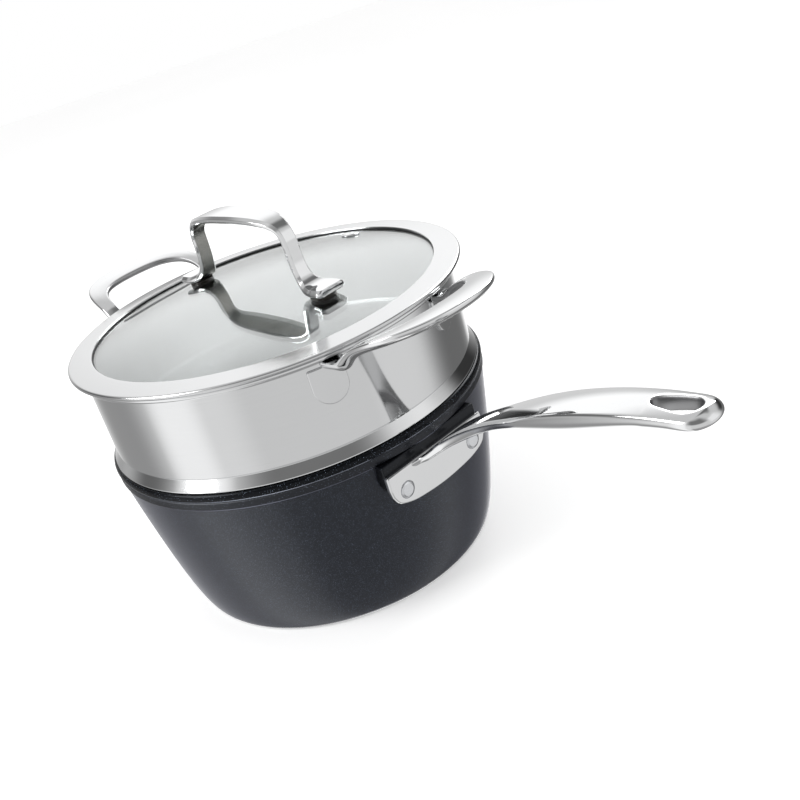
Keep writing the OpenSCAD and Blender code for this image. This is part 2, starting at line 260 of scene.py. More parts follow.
def plate(name, outline, levels, to3d, mats, holes=(), rings_to_centre=()):
    """Slab made of a stack of outlines. levels: (inset, height) from the back face to the front face.
    holes: (centre, [(radius, height), ...]) from the back to the front. rings_to_centre: shares of the size at which
    the front and back faces are cut, for a face that is curved."""
    outline = ccw(outline)
    verts, faces = [], []
    n = len(outline)
    starts = []
    flat = []
    for inset, h in levels:
        starts.append(len(verts))
        ring = outline_in(outline, inset)
        for u, v in ring:
            verts.append((u, v, h))
        flat.append([tuple(q) for q in ring])
    for a, b in zip(starts, starts[1:]):
        for i in range(n):
            j = (i + 1) % n
            faces.append((a + i, a + j, b + j, b + i))
    back_holes, front_holes = [], []
    for (cu, cv), steps in holes:
        m = 64
        hs = []
        for r, h in steps:
            hs.append(len(verts))
            verts += [(cu + r * math.cos(2 * math.pi * i / m), cv + r * math.sin(2 * math.pi * i / m), h)
                      for i in range(m)]
        for a, b in zip(hs, hs[1:]):
            for i in range(m):
                j = (i + 1) % m
                faces.append((a + j, a + i, b + i, b + j))
        back_holes.append([(hs[0] + i, verts[hs[0] + i][:2]) for i in range(m)])
        front_holes.append([(hs[-1] + i, verts[hs[-1] + i][:2]) for i in range(m)])
    for side, (s, hl) in (("back", (0, back_holes)), ("front", (-1, front_holes))):
        ring = flat[s]
        base = starts[s]
        h = levels[s][1]
        if rings_to_centre:
            c = np.mean(np.array(ring), axis=0)
            last = base
            for k in rings_to_centre:
                st = len(verts)
                for u, v in ring:
                    verts.append((c[0] + (u - c[0]) * k, c[1] + (v - c[1]) * k, h))
                for i in range(n):
                    j = (i + 1) % n
                    q = (last + i, last + j, st + j, st + i)
                    faces.append(q if side == "front" else q[::-1])
                last = st
            mid = len(verts)
            verts.append((c[0], c[1], h))
            for i in range(n):
                j = (i + 1) % n
                q = (last + i, last + j, mid)
                faces.append(q if side == "front" else q[::-1])
        else:
            for f in fill_faces([[(base + i, ring[i]) for i in range(n)]] + hl):
                faces.append(f if side == "front" else f[::-1])
    w = [to3d(*q) for q in verts]
    nn = area_normals(w, faces)
    return new_object(name, np.array(w) * MM, faces, mats, None, nn)


def subdivided(name, verts, faces, mats, level=3, creases=None):
    """Catmull-Clark surface of a control cage (mm)."""
    bm = bmesh.new()
    vs = [bm.verts.new(Vector(v) * MM) for v in verts]
    for f in faces:
        bm.faces.new([vs[i] for i in f])
    bmesh.ops.remove_doubles(bm, verts=bm.verts, dist=1e-7)
    bmesh.ops.recalc_face_normals(bm, faces=bm.faces)
    me = bpy.data.meshes.new(name + "_cage")
    bm.to_mesh(me)
    bm.free()
    ob = bpy.data.objects.new(name, me)
    bpy.context.scene.collection.objects.link(ob)
    mod = ob.modifiers.new("subdivide", "SUBSURF")
    mod.levels = mod.render_levels = level
    mod.use_limit_surface = True
    dg = bpy.context.evaluated_depsgraph_get()
    fine = bpy.data.meshes.new_from_object(ob.evaluated_get(dg))
    ob.modifiers.clear()
    old = ob.data
    ob.data = fine
    bpy.data.meshes.remove(old)
    fine.name = name
    fine.materials.clear()
    for m in mats:
        fine.materials.append(m)
    fine.polygons.foreach_set("use_smooth", [True] * len(fine.polygons))
    fine.update()
    return ob


def strands(name, stations, mats, level=3, cap_start=True):
    """Mirror-symmetric casting about y=0. Each station is a closed section (list of points) of the y>=0 strand;
    points at y=0 are shared by the two strands, and the last station lies at y=0."""
    verts, faces = [], []
    for sgn in (1, -1):
        base = len(verts)
        m = len(stations[0])
        for st in stations:
            verts += [(x, sgn * (0 if abs(y) < 1e-6 else y), z) for x, y, z in st]
        for k in range(len(stations) - 1):
            for i in range(m):
                j = (i + 1) % m
                q = [base + k * m + i, base + k * m + j, base + (k + 1) * m + j, base + (k + 1) * m + i]
                if all(abs(verts[t][1]) < 1e-6 for t in q):
                    continue
                faces.append(tuple(q if sgn > 0 else q[::-1]))
        if cap_start:
            q = [base + i for i in range(m)]
            faces.append(tuple(q[::-1] if sgn > 0 else q))
    return subdivided(name, verts, faces, mats, level)


def sweep(name, stations, mats, level=3):
    """Casting with one closed section at each station; the ends are left open."""
    verts, faces = [], []
    m = len(stations[0])
    for st in stations:
        verts += st
    for k in range(len(stations) - 1):
        for i in range(m):
            j = (i + 1) % m
            faces.append((k * m + i, k * m + j, (k + 1) * m + j, (k + 1) * m + i))
    return verts, faces, m


# ---------------------------------------------------------------- materials
class Mat:
    def __init__(self, name, **sockets):
        self.m = bpy.data.materials.new(name)
        self.m.use_nodes = True
        self.t = self.m.node_tree
        self.b = self.t.nodes["Principled BSDF"]
        self.set(**sockets)

    def set(self, **sockets):
        for k, v in sockets.items():
            s = self.b.inputs[k.replace("_", " ")]
            s.default_value = (*v, 1) if isinstance(v, tuple) and len(v) == 3 else v
        return self

    def node(self, kind, **inputs):
        n = self.t.nodes.new(kind)
        for k, v in inputs.items():
            if k in n.inputs.keys() or k.replace("_", " ") in n.inputs.keys():
                n.inputs[k.replace("_", " ") if k.replace("_", " ") in n.inputs.keys() else k].default_value = v
            else:
                setattr(n, k, v)
        return n

    def link(self, a, b):
        self.t.links.new(a, b)

    def math(self, op, a, b=None):
        n = self.t.nodes.new("ShaderNodeMath")
        n.operation = op
        for i, v in enumerate((a, b)):
            if v is None:
                continue
            if isinstance(v, (int, float)):
                n.inputs[i].default_value = v
            else:
                self.link(v, n.inputs[i])
        return n.outputs[0]

    def coords(self):
        """Object coordinates (the row frame, metres) and their x, y and z."""
        tc = self.t.nodes.new("ShaderNodeTexCoord")
        sep = self.t.nodes.new("ShaderNodeSeparateXYZ")
        self.link(tc.outputs["Object"], sep.inputs[0])
        return tc.outputs["Object"], sep.outputs[0], sep.outputs[1], sep.outputs[2]

    def vec(self, x, y, z):
        n = self.t.nodes.new("ShaderNodeCombineXYZ")
        for i, v in enumerate((x, y, z)):
            if isinstance(v, (int, float)):
                n.inputs[i].default_value = v
            else:
                self.link(v, n.inputs[i])
        return n.outputs[0]

    def noise(self, vector, scale, detail=3, rough=0.5):
        n = self.t.nodes.new("ShaderNodeTexNoise")
        n.inputs["Scale"].default_value = scale
        n.inputs["Detail"].default_value = detail
        n.inputs["Roughness"].default_value = rough
        self.link(vector, n.inputs["Vector"])
        return n.outputs["Fac"]

    def ramp(self, fac, stops):
        n = self.t.nodes.new("ShaderNodeValToRGB")
        e = n.color_ramp.elements
        while len(e) < len(stops):
            e.new(0.5)
        for s, (p, c) in zip(e, stops):
            s.position = p
            s.color = (c, c, c, 1) if isinstance(c, (int, float)) else (*c, 1)
        self.link(fac, n.inputs[0])
        return n.outputs[0]

    def span(self, fac, a, b, c, d):
        n = self.t.nodes.new("ShaderNodeMapRange")
        n.clamp = True
        for i, v in enumerate((a, b, c, d)):
            n.inputs[i + 1].default_value = v
        self.link(fac, n.inputs[0])
        return n.outputs[0]

    def bump(self, height, strength, distance):
        n = self.t.nodes.new("ShaderNodeBump")
        n.inputs["Strength"].default_value = strength
        n.inputs["Distance"].default_value = distance
        self.link(height, n.inputs["Height"])
        self.link(n.outputs[0], self.b.inputs["Normal"])
        return n


def polished(name, colour=(0.80, 0.805, 0.81), low=0.035, high=0.075):
    m = Mat(name, Metallic=1.0, IOR=1.5)
    obj, x, y, z = m.coords()
    a = m.noise(obj, 55, 4)
    m.link(m.span(a, 0.3, 0.7, low, high), m.b.inputs["Roughness"])
    tint = m.ramp(m.noise(obj, 23, 2), [(0.3, tuple(c * 0.97 for c in colour)), (0.7, colour)])
    m.link(tint, m.b.inputs["Base Color"])
    m.bump(m.noise(obj, 900, 2), 0.008, 0.00005)
    return m.m


def turned(name, colour, low, high, along, across, strength, distance=0.00004, aniso=0.0, kind="wall"):
    """Metal with fine marks that run round the Z axis."""
    m = Mat(name, Metallic=1.0, IOR=1.5, Anisotropic=aniso)
    obj, x, y, z = m.coords()
    az = m.math("ARCTAN2", y, x)
    r = m.math("SQRT", m.math("ADD", m.math("MULTIPLY", x, x), m.math("MULTIPLY", y, y)))
    ca, sa = m.math("COSINE", az), m.math("SINE", az)
    if kind == "wall":
        v = m.vec(m.math("MULTIPLY", ca, along), m.math("MULTIPLY", sa, along), m.math("MULTIPLY", z, across))
    else:
        v = m.vec(m.math("MULTIPLY", ca, along), m.math("MULTIPLY", sa, along), m.math("MULTIPLY", r, across))
    fine = m.noise(v, 1.0, 4, 0.65)
    broad = m.noise(obj, 30, 2)
    m.link(m.span(fine, 0.25, 0.75, low, high), m.b.inputs["Roughness"])
    mix = m.t.nodes.new("ShaderNodeMix")
    mix.data_type = "RGBA"
    m.link(fine, mix.inputs[0])
    mix.inputs[6].default_value = (*[c * 0.93 for c in colour], 1)
    m.link(m.ramp(broad, [(0.3, tuple(c * 0.985 for c in colour)), (0.7, tuple(min(1, c * 1.01) for c in colour))]),
           mix.inputs[7])
    m.link(mix.outputs[2], m.b.inputs["Base Color"])
    if aniso:
        tg = m.t.nodes.new("ShaderNodeTangent")
        tg.direction_type = "RADIAL"
        tg.axis = "Z"
        m.link(tg.outputs[0], m.b.inputs["Tangent"])
        m.b.inputs["Anisotropic Rotation"].default_value = 0.25 if kind == "wall" else 0.25
    m.bump(fine, strength, distance)
    return m.m


def coated(name, base, fleck, flecks, rough, coat, coat_rough, bump, spec=0.5, fleck_scale=2600, painted_sheen=None):
    """Dark cast coating with fine metallic flecks. A sheen colour, if given, is a painted sheen: the base colour
    lightens towards it at grazing angles.
    """
    m = Mat(name, Metallic=0.0, IOR=1.5, Roughness=rough, Coat_Weight=coat, Coat_Roughness=coat_rough,
            Specular_IOR_Level=spec, Specular_Tint=(0.82, 0.88, 1.0))
    obj, x, y, z = m.coords()
    vo = m.t.nodes.new("ShaderNodeTexVoronoi")
    vo.inputs["Scale"].default_value = fleck_scale
    m.link(obj, vo.inputs["Vector"])
    sep = m.t.nodes.new("ShaderNodeSeparateColor")
    m.link(vo.outputs["Color"], sep.inputs[0])
    pick = m.ramp(sep.outputs[0], [(1 - flecks, 0.0), (1 - flecks * 0.3, 1.0)])
    near = m.ramp(vo.outputs["Distance"], [(0.25, 1.0), (0.55, 0.0)])
    f = m.math("MULTIPLY", pick, near)
    cloud = m.ramp(m.noise(obj, 14, 3), [(0.3, tuple(c * 0.86 for c in base)), (0.7, tuple(c * 1.12 for c in base))])
    # painted sheen: Layer Weight facing mixes the base colour towards the sheen colour, so the silhouettes are painted
    # lighter
    if painted_sheen:
        lw = m.t.nodes.new("ShaderNodeLayerWeight")
        lw.inputs["Blend"].default_value = 0.5
        edge = m.t.nodes.new("ShaderNodeMix")
        edge.data_type = "RGBA"
        m.link(m.math("POWER", lw.outputs["Facing"], 4.0), edge.inputs[0])
        m.link(cloud, edge.inputs[6])
        edge.inputs[7].default_value = (*painted_sheen, 1)
        cloud = edge.outputs[2]
    mix = m.t.nodes.new("ShaderNodeMix")
    mix.data_type = "RGBA"
    m.link(f, mix.inputs[0])
    m.link(cloud, mix.inputs[6])
    mix.inputs[7].default_value = (*fleck, 1)
    m.link(mix.outputs[2], m.b.inputs["Base Color"])
    m.bump(m.noise(obj, 1500, 3), bump, 0.00006)
    return m.m


M = {}
# the pan's coating carries a painted sheen, a lighter blue-grey base colour at grazing angles
M["coat"] = coated("pan_coating", (0.0052, 0.0062, 0.0100), (0.12, 0.15, 0.21), 0.20, 0.30, 0.3, 0.16, 0.08, fleck_scale=4200,
                   painted_sheen=(0.19, 0.195, 0.245))
M["inside"] = coated("pan_lining", (0.016, 0.017, 0.020), (0.2, 0.22, 0.25), 0.08, 0.42, 0.2, 0.3, 0.3)
M["bead"] = coated("pan_lip_gloss", (0.0022, 0.0025, 0.0034), (0.22, 0.27, 0.35), 0.07, 0.22, 0.08, 0.08, 0.08,
                   spec=0.14, fleck_scale=3200)
M["band"] = coated("pan_lip_band", (0.006, 0.0065, 0.0085), (0.12, 0.14, 0.19), 0.10, 0.34, 0.12, 0.2, 0.08, spec=0.4)
# painted shade: a near-black copy of the pan coating for the handle seat, standing in for the dark reflection and shade
# above the flange
M["seat"] = coated("pan_seat_painted_shade", (0.0025, 0.0028, 0.004), (0.05, 0.06, 0.08), 0.04, 0.34, 0.12, 0.14, 0.05, spec=0.25)
M["edge"] = turned("pan_edge", (0.42, 0.45, 0.53), 0.18, 0.28, 5, 2000, 0.05)
M["shoulder"] = turned("pan_shoulder", (0.20, 0.21, 0.27), 0.24, 0.34, 5, 2000, 0.05)
M["bare"] = turned("machined_edge", (0.72, 0.73, 0.75), 0.16, 0.32, 6, 3000, 0.1, kind="face")
M["base"] = turned("base_steel", (0.60, 0.60, 0.61), 0.24, 0.40, 8, 2600, 0.25, kind="face")
M["mirror"] = polished("polished_steel")
# painted shade: a darker copy of the polished steel for the underside of the strap handle
M["under"] = polished("strap_underside_painted_shade", (0.36, 0.355, 0.335), 0.08, 0.14)
# a rougher satin finish, and a darker colour that is painted shade, for the walls of holes and the undersides of the
# loops
M["bore"] = polished("satin_bore_painted_shade", (0.34, 0.34, 0.345), 0.30, 0.42)
M["rivet"] = polished("rivet_steel", (0.74, 0.75, 0.77), 0.14, 0.24)
M["wall"] = turned("brushed_steel", (0.77, 0.775, 0.78), 0.06, 0.11, 4, 2800, 0.05, aniso=0.3)
M["flare"] = turned("mirror_step", (0.80, 0.805, 0.81), 0.05, 0.09, 5, 1800, 0.03)
M["satin"] = turned("satin_bowl", (0.68, 0.685, 0.69), 0.27, 0.34, 3, 1200, 0.03)
M["plate"] = polished("plate_steel", (0.76, 0.765, 0.77), 0.10, 0.18)
M["rim"] = turned("rim_steel", (0.715, 0.72, 0.725), 0.12, 0.21, 5, 3000, 0.06, kind="face", aniso=0.5)
M["seal"] = Mat("black_seal", Roughness=0.45, IOR=1.45)
M["washer"] = Mat("dark_washer", Roughness=0.38, IOR=1.48)
M["washer_grey"] = Mat("under_washer", Roughness=0.42, IOR=1.48)
for key, c, lo, hi in (("seal", (0.012, 0.012, 0.013), 0.38, 0.5), ("washer", (0.022, 0.017, 0.014), 0.28, 0.4),
                       ("washer_grey", (0.15, 0.15, 0.155), 0.34, 0.46)):
    w = M[key]
    o, x, y, z = w.coords()
    w.link(w.ramp(w.noise(o, 260, 3), [(0.3, tuple(v * 0.8 for v in c)), (0.7, tuple(v * 1.25 for v in c))]),
           w.b.inputs["Base Color"])
    w.link(w.span(w.noise(o, 700, 2), 0.3, 0.7, lo, hi), w.b.inputs["Roughness"])
    w.bump(w.noise(o, 1200, 2), 0.2, 0.00005)
    M[key] = w.m

g = Mat("tinted_glass", Transmission_Weight=1.0, IOR=1.52, Metallic=0.32)
o, x, y, z = g.coords()
g.link(g.ramp(g.noise(o, 9, 2), [(0.3, (0.925, 0.952, 0.95)), (0.7, (0.935, 0.96, 0.957))]), g.b.inputs["Base Color"])
g.link(g.span(g.noise(o, 40, 3), 0.3, 0.7, 0.0, 0.012), g.b.inputs["Roughness"])
M["glass"] = g.m


# ---------------------------------------------------------------- placing
def put(ob, body, nodes):
    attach(ob, body)
    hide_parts(*([nodes] if isinstance(nodes, str) else nodes))
    return ob


# ================================================================ saucepan
MOUTH = 100.0
LIP = 103.4
PAN_H = 94.8
SHOULDER = 86.2
FOOT = 85.3
WALL_T = 3.2
FLOOR = 5.5
SEAT = 102.2
FL_T = 2.8
FL_X = SEAT + GAP
FL_TOP = 81.5
FL_BOT = 60.5
DISC_R = 76.0
DISC_T = 1.6


def wall_r(z):
    return FOOT + (LIP - 1.1 - FOOT) * (max(z, 0) / SHOULDER) ** 0.66


zs = [SHOULDER * (i / 60) ** 1.25 for i in range(1, 60)]
bead = arc(LIP - 1.72, PAN_H - 2.4, 1.7, 2.38, -42, 90, 16)
body = (
    ["2", (0, DISC_T + GAP), (DISC_R + GAP, DISC_T + GAP, 0.15), (DISC_R + GAP, 0, 0.25),
     "0", (84.35, 0, 0.3), (85.15, 0.35, 0.2), "1", (wall_r(0.75), 0.75), (wall_r(1.15), 1.15), "0",
     (wall_r(1.6), 1.6)]
    + [(wall_r(z), z) for z in zs if z > 1.9]
    + ["7", (wall_r(SHOULDER - 0.35), SHOULDER - 0.35)]
    + corner((wall_r(SHOULDER - 0.35), SHOULDER - 0.35), (LIP - 1.02, SHOULDER + 0.02), (LIP - 0.45, SHOULDER + 0.5), 0.25)
    + ["5"] + corner((LIP - 1.02, SHOULDER + 0.02), (LIP - 0.45, SHOULDER + 0.5), (LIP - 0.35, PAN_H - 4.6), 0.35)
    + ["3", (LIP - 0.35, PAN_H - 4.75, 0.2), (LIP - 0.75, PAN_H - 4.4, 0.2), "6", (LIP - 0.68, PAN_H - 4.1, 0.15)]
    + bead[:2] + ["4"] + bead[2:]
    + [(MOUTH + 1.45, PAN_H - 0.01)]
    + arc(MOUTH + 1.4, PAN_H - 1.42, 1.4, 1.4, 92, 180, 8)
    + ["3", (MOUTH, PAN_H - 3.6, 0.5)]
    + [(wall_r(z) - WALL_T, z) for z in [SHOULDER - (SHOULDER - 18.6) * i / 24 for i in range(25)]]
    + arc(wall_r(18) - WALL_T - 12, FLOOR + 12.5, 12, 12.5, 0, -90, 14)
    + [(0, FLOOR)]
)
put(lathe("pan", body, [M["coat"], M["bare"], M["base"], M["inside"], M["bead"], M["band"], M["edge"], M["shoulder"]], segs=384),
    "saucepan", "saucepan_body")


def boat(w, top, bot):
    left = [(w / 2 - 0.6, top - 11), (w / 2 - 3, top - 15.2), (w / 2 - 8, bot + 3.2), (w / 4, bot + 1.3),
            (0, bot + 0.2), (-w / 4, bot + 1.3), (-w / 2 + 8, bot + 3.2), (-w / 2 + 3, top - 15.2),
            (-w / 2 + 0.6, top - 11)]
    return ([(-w / 2, top - 1.3), (-w / 2 + 0.12, top - 0.6), (-w / 2 + 0.6, top - 0.12), (-w / 2 + 1.3, top),
             (w / 2 - 1.3, top), (w / 2 - 0.6, top - 0.12), (w / 2 - 0.12, top - 0.6), (w / 2, top - 1.3),
             (w / 2, top - 7)] + smooth(left, 5) + [(-w / 2, top - 7)])


def seat_point(u, v, h):
    """h 0 is the flat front face; below -50 the point lies inside the pan's wall."""
    if h < -50:
        return (math.sqrt((wall_r(min(v, SHOULDER)) - 1.6) ** 2 - u * u), u, v)
    return (SEAT + h, u, v)


# the handle seat takes the near-black seat material, which is painted shade
put(plate("handle_seat", densify(boat(63.4, SHOULDER, FL_BOT + 0.8), 2.5),
          [(0, -99), (0, -0.9), (0.1, -0.35), (0.4, -0.07), (0.8, 0)], seat_point, [M["seat"]],
          rings_to_centre=(0.9, 0.7, 0.45, 0.2)),
    "saucepan", "saucepan_body")

# base plate
grooves = []
for r in (20, 38, 56):
    grooves += [(r, 0, 0.12), (r + 0.1, 0.6, 0.1), (r + 1.1, 0.6, 0.1), (r + 1.2, 0, 0.12)]
put(lathe("base_disc", [(0, 0)] + grooves + [(DISC_R, 0, 0.3), (DISC_R, DISC_T, 0.1), (0, DISC_T)], [M["base"]]),
    "saucepan", "induction_base_plate")

# rivets: outer disc heads in their counterbores, inner heads on the wall
TO_X = Matrix(((0, 0, 1, 0), (1, 0, 0, 0), (0, 1, 0, 0), (0, 0, 0, 1)))
x1 = FL_X + FL_T
for s in (-1, 1):
    m = Matrix.Translation((0, s * 23.0, 70.4)) @ TO_X
    put(lathe("rivet_%s" % ("right" if s < 0 else "left"), [
        (0, 93.2), (4.9, 93.2, 0.9), (6.2, 94.5, 0.6), (6.2, 95.56, 0.1), (2.6, 95.56), (2.6, x1 - 0.68),
        (4.0, x1 - 0.68, 0.1), (4.0, x1 + 0.22, 0.45), (3.0, x1 + 0.60, 0.5), (1.6, x1 + 0.67), (0, x1 + 0.69)],
        [M["rivet"]], segs=96, place=m), "saucepan", "saucepan_rivets")

# riveted flange
put(plate("handle_flange", densify(boat(65.0, FL_TOP, FL_BOT), 2.0),
          [(0.25, 0), (0, 0.25), (0, FL_T - 0.85), (0.1, FL_T - 0.68), (0.52, FL_T - 0.16), (0.68, FL_T - 0.04), (0.95, FL_T)],
          lambda u, v, h: (FL_X + h, u, v), [M["mirror"]],
          holes=[((s * 23.0, 70.4), [(2.62, 0), (2.62, FL_T - 0.7), (4.3, FL_T - 0.7), (4.3, FL_T - 0.22),
                                     (4.36, FL_T - 0.08), (4.5, FL_T)]) for s in (-1, 1)]),
    "saucepan", "saucepan_handle")

# long handle
END = 257.0
crest = Table([(100, 80.9), (102, 81.0), (105.5, 81.35), (110, 84.7), (115, 88.3), (121, 92.3), (129, 97), (139, 102), (151, 107),
               (164, 112.1), (179, 117.4), (195, 121.9), (212, 125.5), (230, 128), (245, 128.9), (252, 128.9),
               (257, 128.4)])
under = Table([(100, 77.4), (104, 77.7), (105.04, 77.85), (106.5, 78.15), (108, 78.7), (110, 79.75),
               (115, 82.9), (121, 86.4), (129, 90.7), (139, 95.9), (151, 101.6), (164, 106.0), (179, 109.0), (195, 111.9),
               (212, 116.2), (230, 120.4), (245, 122.0), (257, 122.3)])
halfw = Table([(100, 19.6), (104, 18.6), (105.04, 17.2), (105.35, 16.1), (105.9, 14.7), (106.8, 13.4), (108, 12.55), (110, 11.8),
               (115, 10.3), (121, 8.8), (129, 7.75), (139, 7.55), (151, 8.15), (164, 9.95), (179, 11.25), (195, 11.75),
               (212, 11.75), (230, 11.35), (241, 11.1), (247, 10.9)])
drop = Table([(100, 0.15), (115, 0.25), (139, 0.25), (155, 0.4), (164, 0.7), (179, 1.1), (195, 1.4), (212, 1.7),
              (230, 2.0), (245, 2.1), (257, 2.1)])
fork = Table([(100, 6.2), (104, 6.6), (105.04, 7.1), (105.35, 7.4), (105.9, 7.8), (106.8, 7.9), (108, 7.4), (111, 6.3), (114, 5.1), (116.6, 3.7), (118.2, 2.2)])


def top_z(x, y):
    w = halfw(min(x, 247))
    return crest(x) - drop(x) * min(1.0, abs(y) / w) ** 2


def section(inner, outer, hole, e_top, e_bot, wide_at, rho=0.9, zt=None, zb=None, ridge_drop=0.0):
    """Section of one strand between a plan point on the inside and one on the outside."""
    i, o = np.array(inner, float), np.array(outer, float)
    length = np.linalg.norm(o - i)
    d = (o - i) / length

    def at(dist_from_outer, z):
        p = o - d * dist_from_outer
        return (p[0], p[1], z)

    def top(dist):
        p = o - d * dist
        return top_z(p[0], p[1]) if zt is None else zt

    def bot(dist):
        p = o - d * dist
        return under(p[0]) if zb is None else zb

    r = rho if hole else 0
    ridge = top(e_top) - ridge_drop
    zb0 = bot(e_bot)
    zm = zb0 + (ridge - zb0) * wide_at
    e3 = min(e_top + 0.8, e_top + 0.4 * (length - e_top))
    u2 = (length + e3) / 2 if not hole else (length - rho + e3) / 2
    pts = [
        (i[0], i[1], top(length) - r * 0.9),
        at(length - (rho if hole else 0.16 * length), top(length - (rho if hole else 0.16 * length))),
        at(min(u2, length * 0.62), top(min(u2, length * 0.62))),
        at(e3, top(e3) - ridge_drop * 0.25),
        at(e_top, ridge - 0.12),
        at(e_top * 0.42, ridge - (ridge - zm) * 0.40),
        at(0, zm),
        at(e_bot * 0.35, zb0 + (zm - zb0) * 0.42),
        at(e_bot, zb0 + 0.15),
        at(length * 0.6, bot(length * 0.6)),
        at(length - (rho if hole else 0.16 * length), bot(length - (rho if hole else 0.16 * length))),
        (i[0], i[1], bot(length) + r * 0.9),
    ]
    return pts


st = []
for x in (103.0, 104.4, 105.04, 105.35, 105.9, 106.8, 108.2, 110.4, 112.8, 115.2, 117.2, 118.3):
    near = min(1.0, max(0.0, (109 - x) / 3.5))
    st.append(section((x, fork(x)), (x, halfw(x)), True, 0.7, 1.6 + 1.6 * near, 0.6 + 0.15 * near, rho=0.8 - 0.2 * near))
st.append(section((119.0, 0), (119.2, halfw(119.2)), False, 0.8, 1.8, 0.6))
for x in (121.5, 126, 132, 139, 146, 153, 160, 168, 177, 186, 195, 204, 213, 220, 225.5, 229.0):
    k = min(1.0, max(0.0, (x - 150) / 40))
    st.append(section((x, 0), (x, halfw(x)), False, 0.85 + 0.15 * k, 2.0 + 1.6 * k, 0.60 - 0.06 * k))
hole_c = END - 11.6
st.append(section((230.9, 0), (231.2, halfw(231.2)), False, 1.0, 3.3, 0.54))
for (xi, yi), xo, e in (((231.5, 1.75), 232.4, 1.0), ((233.6, 3.05), 234.6, 1.0), ((237.6, 3.95), 238.2, 1.0),
                        ((241.6, 4.75), 241.8, 1.05)):
    st.append(section((xi, yi), (xo, halfw(xo)), True, e, 3.0, 0.54, rho=0.9))
for phi, (xo, yo), e, rd in ((94, (245.2, 11.05), 1.0, 0.0), (75, (248.6, 10.85), 1.1, 0.05),
                             (58, (251.9, 10.15), 1.5, 0.15), (39, (254.8, 7.8), 2.2, 0.25),
                             (19, (256.7, 4.2), 2.9, 0.3), (0, (257.3, 0), 3.2, 0.3)):
    a = math.radians(phi)
    st.append(section((hole_c + 5.25 * math.cos(a), 5.25 * math.sin(a)), (xo, yo), True, e,
                      3.0, 0.50 - 0.08 * (90 - min(90, phi)) / 90, rho=0.9, ridge_drop=rd))
handle = strands("long_handle", st, [M["mirror"], M["bore"]], 4)
# the wall of the hanging hole takes the darker satin steel: painted shade inside the hole
for poly in handle.data.polygons:
    c = poly.center / MM
    if 229 < c.x < 251 and abs(c.y) < 6.3 and abs(poly.normal.z) < 0.72:
        poly.material_index = 1
put(handle, "saucepan", "saucepan_handle")

# ================================================================ insert
R_IN = 99.2
T_IN = 1.0
TOP = 147.1
IN_FLOOR = 28.0
LEDGE = PAN_H + 0.3
W_FOOT = LEDGE + 6.6


def bowl(t):
    return smooth([(98.6 - t, LEDGE - 0.6), (98.3 - t, LEDGE - 5), (96.4 - t, LEDGE - 13), (92.6 - t, LEDGE - 27),
                   (86.8 - t, LEDGE - 43), (79 - t, IN_FLOOR + 10.5 + t * 0.4), (71 - t, IN_FLOOR + 3.4 + t * 0.8),
                   (60 - t, IN_FLOOR + t)], 6)


shell = (
    ["1"] + arc(R_IN + 3.1, TOP - 1.2, 1.19, 1.19, 90, -100, 14)
    + [(R_IN + 1, TOP - 2.5, 0.4), (R_IN + 0.2, TOP - 3.2, 0.4), "0", (R_IN, TOP - 4.2, 0.6),
       (R_IN, TOP - 20), (R_IN, W_FOOT + 15),
       (R_IN, W_FOOT + 0.1, 0.3), "1", (R_IN - 0.4, W_FOOT - 0.75, 0.25), (R_IN - 1.1, W_FOOT - 1.0, 0.25)]
    + [(MOUTH + 1.65, LEDGE + 0.7, 0.25), (MOUTH + 1.74, LEDGE + 0.35, 0.15), (MOUTH + 1.6, LEDGE + 0.02, 0.1),
       (98.9, LEDGE + 0.02, 0.3), "2"]
    + bowl(0) + [(0, IN_FLOOR), (0, IN_FLOOR + T_IN)] + bowl(T_IN)[::-1]
    + [(98.6 - T_IN, LEDGE + 0.6, 0.8), (R_IN - 1.2 - T_IN, W_FOOT - 2.4, 0.8), (R_IN - 1.2 - T_IN, W_FOOT - 1, 0.6),
       (R_IN - T_IN, W_FOOT + 0.8, 0.8), (R_IN - T_IN, TOP - 1.6, 0.8), (R_IN - T_IN + 0.8, TOP - 0.4, 0.5),
       (R_IN + 0.8, TOP - 0.02, 0.5)]
)


def shell_parts(items):
    """The shell is one closed ring in two runs, outside and inside, that meet on the axis."""
    cut = [k for k, it in enumerate(items) if not isinstance(it, str) and it[0] == 0]
    return items[:cut[0] + 1], items[cut[1]:]


out_run, in_run = shell_parts(shell)
# inside first (from the axis up to the rim), then the outside down to the axis
put(lathe("insert_pot", ["2"] + in_run + out_run, [M["wall"], M["flare"], M["satin"]], segs=384),
    "insert", "insert_shell")

# loops
T = TOP
ltop = Table([(86, T - 3.65), (96, T - 3.2), (101, T - 2.95), (103.6, T - 2.6), (106, T - .4), (110, T + 3), (120, T + 7.1),
              (131, T + 9.9), (141.5, T + 12), (151, T + 13.2)])
pairs = [((91.6, 39.2), (95.5, 28.5)), ((93.0, 39.2), (96.9, 28.6)), ((95.6, 39.2), (99.3, 28.8)),
         ((99.6, 39.15), (102.3, 29.1)), ((103.6, 39.0), (105.2, 29.35)), ((107.6, 38.8), (108.6, 29.45)),
         ((113.5, 38.35), (113.4, 29.35)), ((120.5, 37.7), (118.4, 28.45)), ((127.6, 36.4), (122.9, 26.7)),
         ((134.3, 33.75), (126.4, 24.15)), ((139.8, 29.8), (129.1, 20.9)), ((144.3, 24.7), (131.1, 16.9)),
         ((147.5, 18.7), (132.2, 12.4)), ((149.5, 12.0), (132.75, 8.0)), ((150.45, 5.8), (132.95, 3.9)),
         ((150.62, 0), (133.0, 0))]


